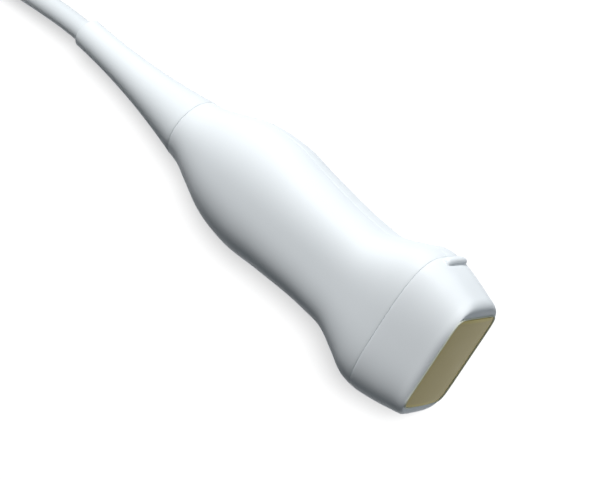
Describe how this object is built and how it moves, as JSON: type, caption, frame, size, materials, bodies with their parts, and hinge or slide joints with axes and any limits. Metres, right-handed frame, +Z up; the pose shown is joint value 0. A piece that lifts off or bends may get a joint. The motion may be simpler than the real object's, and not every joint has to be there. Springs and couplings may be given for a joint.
{
  "type": "ultrasound transducer probe",
  "caption": "White phased-array ultrasound probe: waisted two-shell handle, nosepiece with a rectangular lens, trumpet boot, and a cable tied in a hank that ends in a locking connector.",
  "frame": {"origin": "On the floor plane, under the middle of the probe from boot tip to lens, the cable and its pieces left out", "axes": "+X along the probe's axis out of the lens, +Y towards the side with the orientation ridge, +Z up from the broad face it lies on"},
  "size_m": [0.314, 0.0578, 0.0569],
  "materials": {
    "shell_white": "satin moulded, fine texture",
    "nose_white": "satin moulded",
    "boot_white": "matte elastomer",
    "lens_tan": "smooth silicone",
    "seal_cream": "smooth bead",
    "gasket_grey": "matte",
    "matching_amber": "filled resin",
    "piezo_cream": "unglazed ceramic",
    "backing_grey": "loaded resin",
    "flex_amber": "smooth film",
    "frame_aluminium": "machined",
    "board_green": "solder-masked laminate",
    "header_black": "moulded",
    "inductor_grey": "ferrite",
    "harness_blue": "bundled wires",
    "screw_steel": "plated",
    "cable_white": "smooth jacket",
    "tie_grey": "woven strap",
    "connector_grey": "fine texture",
    "contact_black": "moulded",
    "pin_gold": "plated",
    "lever_grey": "fine texture"
  },
  "bodies": {
    "probe": {"handle_upper_shell": "shell_white", "handle_lower_shell": "shell_white", "nose_shell": "nose_white", "nose_gasket": "gasket_grey", "acoustic_lens": "lens_tan", "lens_seal": "seal_cream", "outer_matching_layer": "matching_amber", "inner_matching_layer": "matching_amber", "piezo_array": "piezo_cream", "backing_block": "backing_grey", "flex_circuit_upper": "flex_amber", "flex_circuit_lower": "flex_amber", "array_carrier": "frame_aluminium", "carrier_screws": "screw_steel", "chassis": "frame_aluminium", "tuning_board_upper": "board_green", "tuning_board_lower": "board_green", "board_screws": "screw_steel", "flex_header_upper": "header_black", "flex_header_lower": "header_black", "coax_headers": "header_black", "tuning_inductors": "inductor_grey", "coax_harness": "harness_blue", "cable_clamp_upper": "frame_aluminium", "cable_clamp_lower": "frame_aluminium", "clamp_screws": "screw_steel", "strain_relief_boot": "boot_white", "cable_inner_run": "cable_white", "cable": "cable_white", "cable_hank": "cable_white", "cable_tie": "tie_grey", "connector_lead": "cable_white", "connector_lower_shell": "connector_grey", "connector_upper_shell": "connector_grey", "contact_block": "contact_black", "contact_pins": "pin_gold", "connector_board": "board_green", "connector_boot": "lever_grey", "connector_screws": "screw_steel"},
    "lock": {"lock_shaft": "screw_steel", "lock_lever": "lever_grey"}
  },
  "joints": [
    {"name": "connector_lock_turn", "type": "hinge", "parent": "probe", "child": "lock", "pos_m": [-0.2078, 0.002, 0.0476], "axis": [0, 0, 1], "range_deg": [0, 90]}
  ]
}
